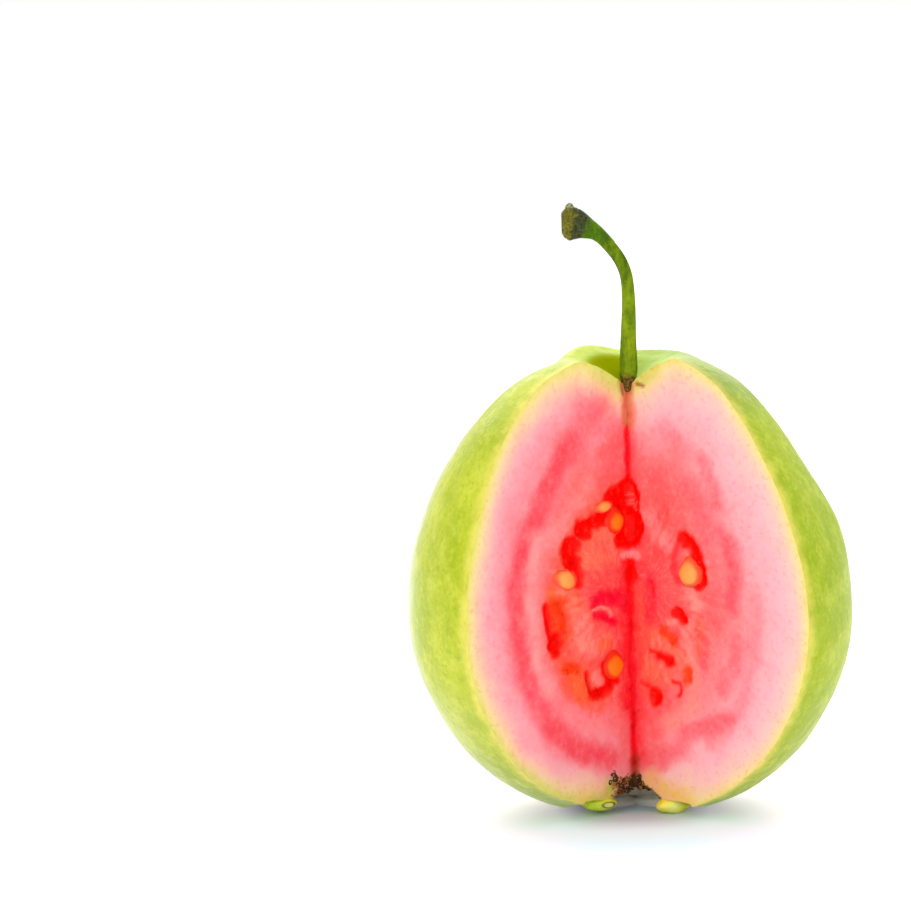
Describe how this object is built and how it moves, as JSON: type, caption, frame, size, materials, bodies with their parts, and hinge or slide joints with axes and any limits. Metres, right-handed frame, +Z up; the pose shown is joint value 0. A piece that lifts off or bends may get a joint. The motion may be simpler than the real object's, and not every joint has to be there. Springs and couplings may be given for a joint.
{
  "type": "guava",
  "caption": "Ripe pink guava standing upright with a quarter cut away to show its flesh and seeds, with its stem and calyx on.",
  "frame": {"origin": "centre of the bounding box on the surface the fruit stands on", "axes": "+Z up along the fruit's own axis to the stem, -Y towards the open wedge"},
  "size_m": [0.0719, 0.0603, 0.0988],
  "materials": {
    "fruit": "thin waxy yellow-green skin",
    "pulp": "wet pink pulp with red seed pockets",
    "seed": "seed in a thin film of orange gel",
    "stem": "green stem, corky at its cut end",
    "calyx": "fleshy green lobes",
    "stamens": "dry brown filaments"
  },
  "bodies": {
    "root": {"fruit": "fruit", "stem": "stem", "calyx_lobe_1": "calyx", "calyx_lobe_2": "calyx", "calyx_lobe_3": "calyx", "calyx_lobe_4": "calyx", "dried_stamens": "stamens"}
  },
  "joints": []
}
